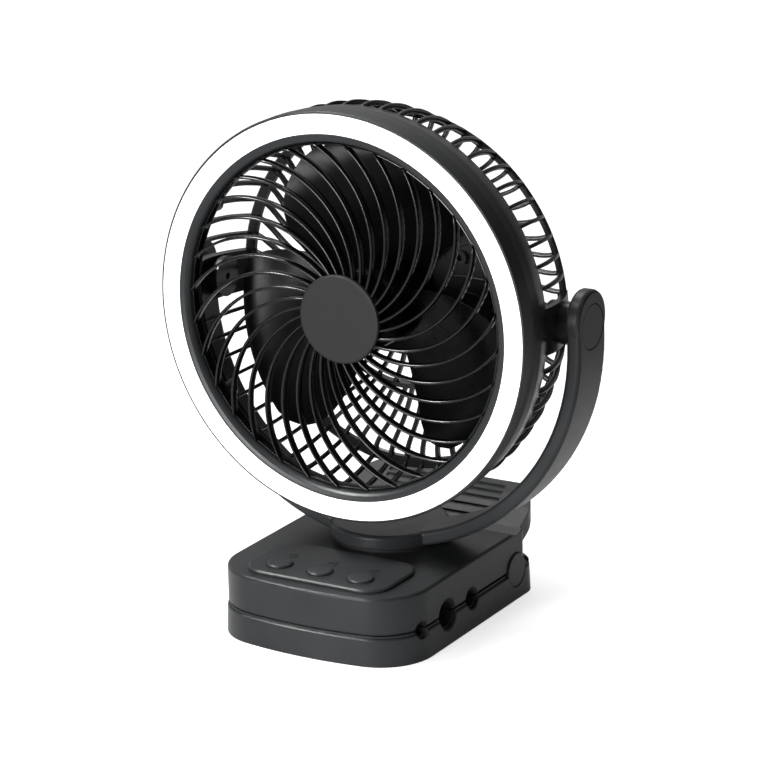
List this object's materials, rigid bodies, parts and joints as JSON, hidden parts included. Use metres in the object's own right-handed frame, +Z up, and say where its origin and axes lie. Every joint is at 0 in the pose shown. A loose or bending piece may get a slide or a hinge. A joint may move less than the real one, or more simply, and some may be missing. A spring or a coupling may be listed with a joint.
{
  "type": "portable camping fan",
  "caption": "Battery fan with a lamp ring round its swept grille, tilting in a U yoke that swivels on a spring clamp base.",
  "frame": {"origin": "on the table, in the flat underside of the base, straight under the swivel axis of the yoke", "axes": "+Z up, along the swivel axis; -Y is the front, where the lamp ring and the buttons face; +X is the right side as seen from behind, left to right across the tilt axis"},
  "size_m": [0.215, 0.1389, 0.2443],
  "materials": {
    "charcoal_plastic": "matt moulded plastic with a fine texture",
    "black_plastic": "smooth black plastic with a soft sheen",
    "cage_plastic": "satin black plastic",
    "hub_plastic": "fine matt plastic, a little lighter than the ribs",
    "blade_plastic": "satin black plastic",
    "button_plastic": "matt plastic keys",
    "lamp_diffuser": "white diffusing plastic, lit",
    "lamp_board": "white coated circuit board",
    "lamp_chips": "yellow phosphor lamp chips",
    "green_board": "green circuit board",
    "switch_black": "black moulded switch bodies",
    "cell_wrap": "wrapped flat battery cell",
    "steel": "zinc plated steel",
    "socket_steel": "plated steel shell",
    "rubber_pad": "soft black rubber",
    "nylon": "black nylon"
  },
  "bodies": {
    "lower": {"lower_jaw": "charcoal_plastic", "base_plate": "nylon", "lower_groove_liners": "rubber_pad", "base_screws": "steel", "rubber_feet": "rubber_pad", "hinge_pin": "steel", "hinge_caps": "charcoal_plastic", "torsion_spring": "steel"},
    "upper": {"upper_housing": "charcoal_plastic", "upper_jaw_plate": "charcoal_plastic", "upper_groove_liners": "rubber_pad", "plate_screws": "steel", "control_panel": "charcoal_plastic", "control_board": "green_board", "button_switches": "switch_black", "battery_pack": "cell_wrap", "charge_port": "socket_steel", "swivel_ring": "nylon"},
    "power_key": {"power_button": "button_plastic"},
    "speed_key": {"speed_button": "button_plastic"},
    "light_key": {"light_button": "button_plastic"},
    "yoke_body": {"yoke": "charcoal_plastic", "friction_washers": "nylon", "pivot_caps": "charcoal_plastic", "swivel_retainer": "steel", "swivel_screw": "steel"},
    "head": {"front_bezel": "charcoal_plastic", "led_diffuser": "lamp_diffuser", "led_board": "lamp_board", "led_chips": "lamp_chips", "front_grille": "black_plastic", "hub_cap": "hub_plastic", "rear_cage": "cage_plastic", "cage_screws": "steel", "motor": "steel", "motor_screws": "steel", "motor_cover": "cage_plastic", "pivot_washers": "steel", "pivot_screws": "steel"},
    "rotor": {"impeller": "blade_plastic", "motor_shaft": "steel", "impeller_nut": "steel"}
  },
  "joints": [
    {"name": "jaw_hinge", "type": "hinge", "parent": "lower", "child": "upper", "pos_m": [0, 0.0278, 0.0144], "axis": [-1, 0, 0], "range_deg": [0, 25], "stiffness_Nm_per_rad": 1.1, "springref_deg": -31.51, "deforming": ["torsion_spring"]},
    {"name": "power_press", "type": "slide", "parent": "upper", "child": "power_key", "axis": [0, 0, -1], "range_m": [0, 0.0008], "stiffness_N_per_m": 150, "springref_m": -0.001},
    {"name": "speed_press", "type": "slide", "parent": "upper", "child": "speed_key", "axis": [0, 0, -1], "range_m": [0, 0.0008], "stiffness_N_per_m": 150, "springref_m": -0.001},
    {"name": "light_press", "type": "slide", "parent": "upper", "child": "light_key", "axis": [0, 0, -1], "range_m": [0, 0.0008], "stiffness_N_per_m": 150, "springref_m": -0.001},
    {"name": "yoke_swivel", "type": "hinge", "parent": "upper", "child": "yoke_body", "pos_m": [0, 0, 0.0413], "axis": [0, 0, 1], "range_deg": [-180, 180]},
    {"name": "head_tilt", "type": "hinge", "parent": "yoke_body", "child": "head", "pos_m": [0, 0, 0.1485], "axis": [-1, 0, 0], "range_deg": [-60, 90]},
    {"name": "fan_spin", "type": "hinge", "parent": "head", "child": "rotor", "pos_m": [0, 0, 0.1485], "axis": [0, 1, 0], "continuous": true}
  ]
}
